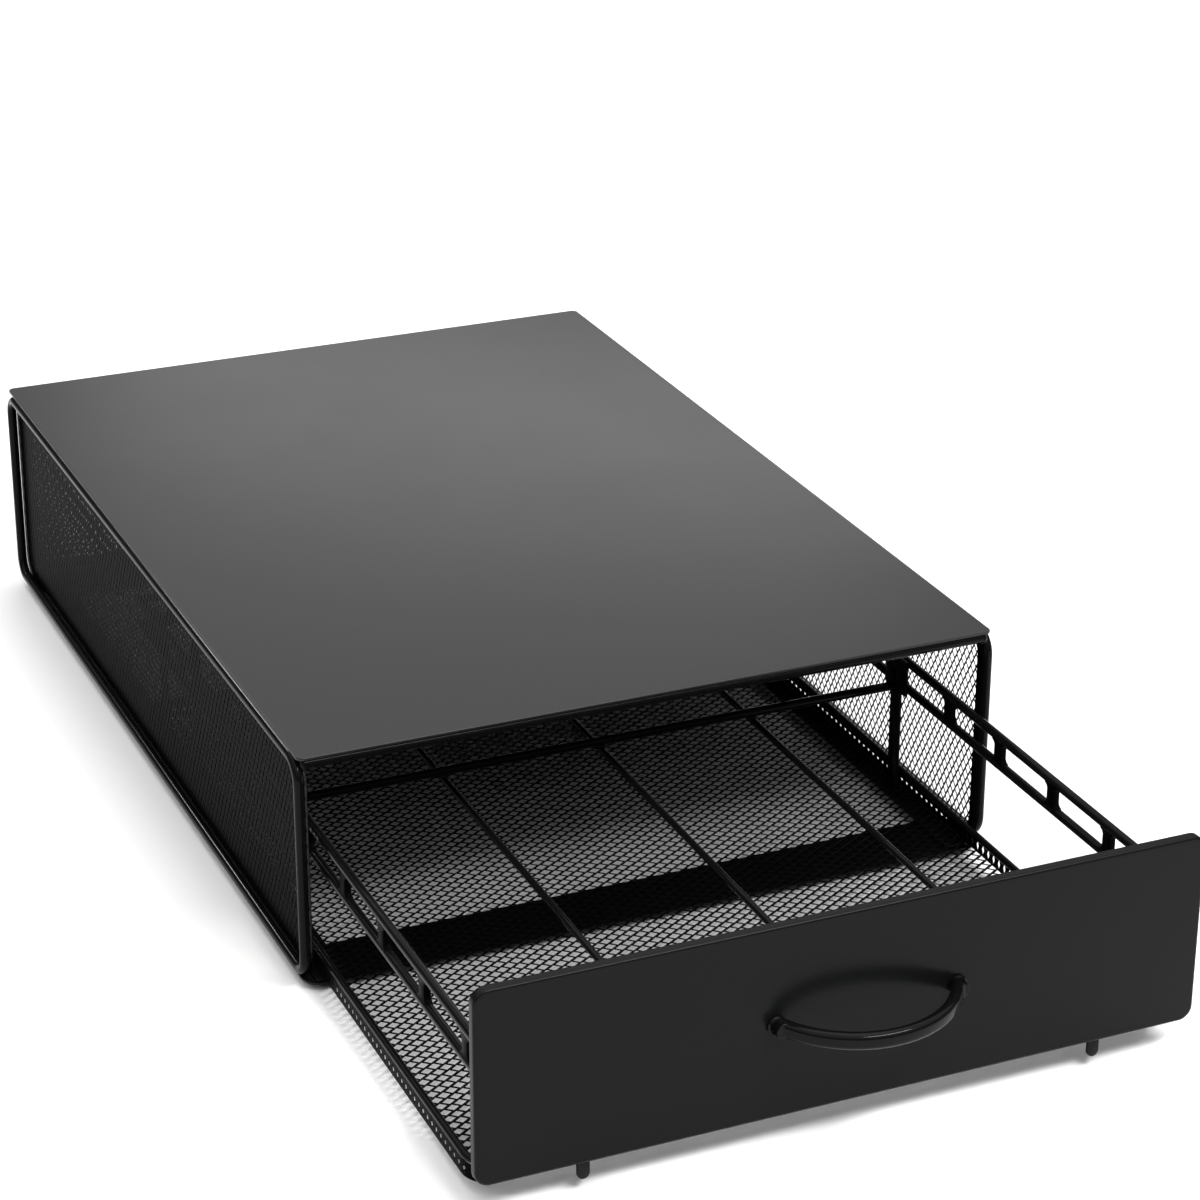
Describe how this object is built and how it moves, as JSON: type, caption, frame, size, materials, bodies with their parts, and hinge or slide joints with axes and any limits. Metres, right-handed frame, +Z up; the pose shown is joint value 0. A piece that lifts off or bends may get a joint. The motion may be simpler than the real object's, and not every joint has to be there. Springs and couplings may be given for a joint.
{
  "type": "capsule drawer cabinet",
  "caption": "Low wire and mesh cabinet with a flat deck for an appliance and a sliding drawer underneath for coffee capsules.",
  "frame": {"origin": "on the table, under the middle of the bounding box with the drawer pulled out as in the picture", "axes": "+X to the right seen from the front, -Y towards the user, the way the drawer opens, +Z up"},
  "size_m": [0.312, 0.6516, 0.105],
  "materials": {
    "deck_sheet": "satin",
    "panel_sheet": "satin",
    "frame_rod": "gloss",
    "folded_sheet": "satin",
    "mesh_sheet": "satin",
    "handle_bar": "gloss",
    "screw_zinc": "satin",
    "foot_rubber": "matte"
  },
  "bodies": {
    "cabinet": {"deck": "deck_sheet", "left_side_frame": "frame_rod", "right_side_frame": "frame_rod", "left_side_mesh": "mesh_sheet", "right_side_mesh": "mesh_sheet", "back_frame": "frame_rod", "back_mesh": "mesh_sheet", "front_top_rod": "frame_rod", "front_brace": "folded_sheet", "rear_brace": "folded_sheet", "front_bottom_plate": "folded_sheet", "rear_bottom_plate": "folded_sheet", "left_runner": "folded_sheet", "right_runner": "folded_sheet", "front_left_foot": "foot_rubber", "front_right_foot": "foot_rubber", "rear_left_foot": "foot_rubber", "rear_right_foot": "foot_rubber"},
    "drawer": {"front_panel": "panel_sheet", "left_panel_bracket": "frame_rod", "right_panel_bracket": "frame_rod", "left_panel_tab": "frame_rod", "right_panel_tab": "frame_rod", "handle": "handle_bar", "handle_screws": "screw_zinc", "left_top_rail": "frame_rod", "right_top_rail": "frame_rod", "rear_top_rail": "frame_rod", "left_lower_rail": "frame_rod", "right_lower_rail": "frame_rod", "rear_lower_rail": "frame_rod", "left_struts": "frame_rod", "right_struts": "frame_rod", "rear_struts": "frame_rod", "left_mid_bracket": "frame_rod", "right_mid_bracket": "frame_rod", "left_rear_bracket": "frame_rod", "right_rear_bracket": "frame_rod", "mid_cross_rod": "frame_rod", "left_divider": "frame_rod", "middle_divider": "frame_rod", "right_divider": "frame_rod", "left_stop_post": "frame_rod", "right_stop_post": "frame_rod", "left_tray_stay": "folded_sheet", "right_tray_stay": "folded_sheet", "tray_floor": "mesh_sheet", "left_rim": "frame_rod", "right_rim": "frame_rod", "front_rim": "frame_rod", "rear_rim": "frame_rod", "rim_corners": "frame_rod", "left_lip": "mesh_sheet", "right_lip": "mesh_sheet", "front_lip": "mesh_sheet", "rear_lip": "mesh_sheet"}
  },
  "joints": [
    {"name": "drawer_slide", "type": "slide", "parent": "cabinet", "child": "drawer", "axis": [0, -1, 0], "range_m": [-0.1695, 0.173]}
  ]
}
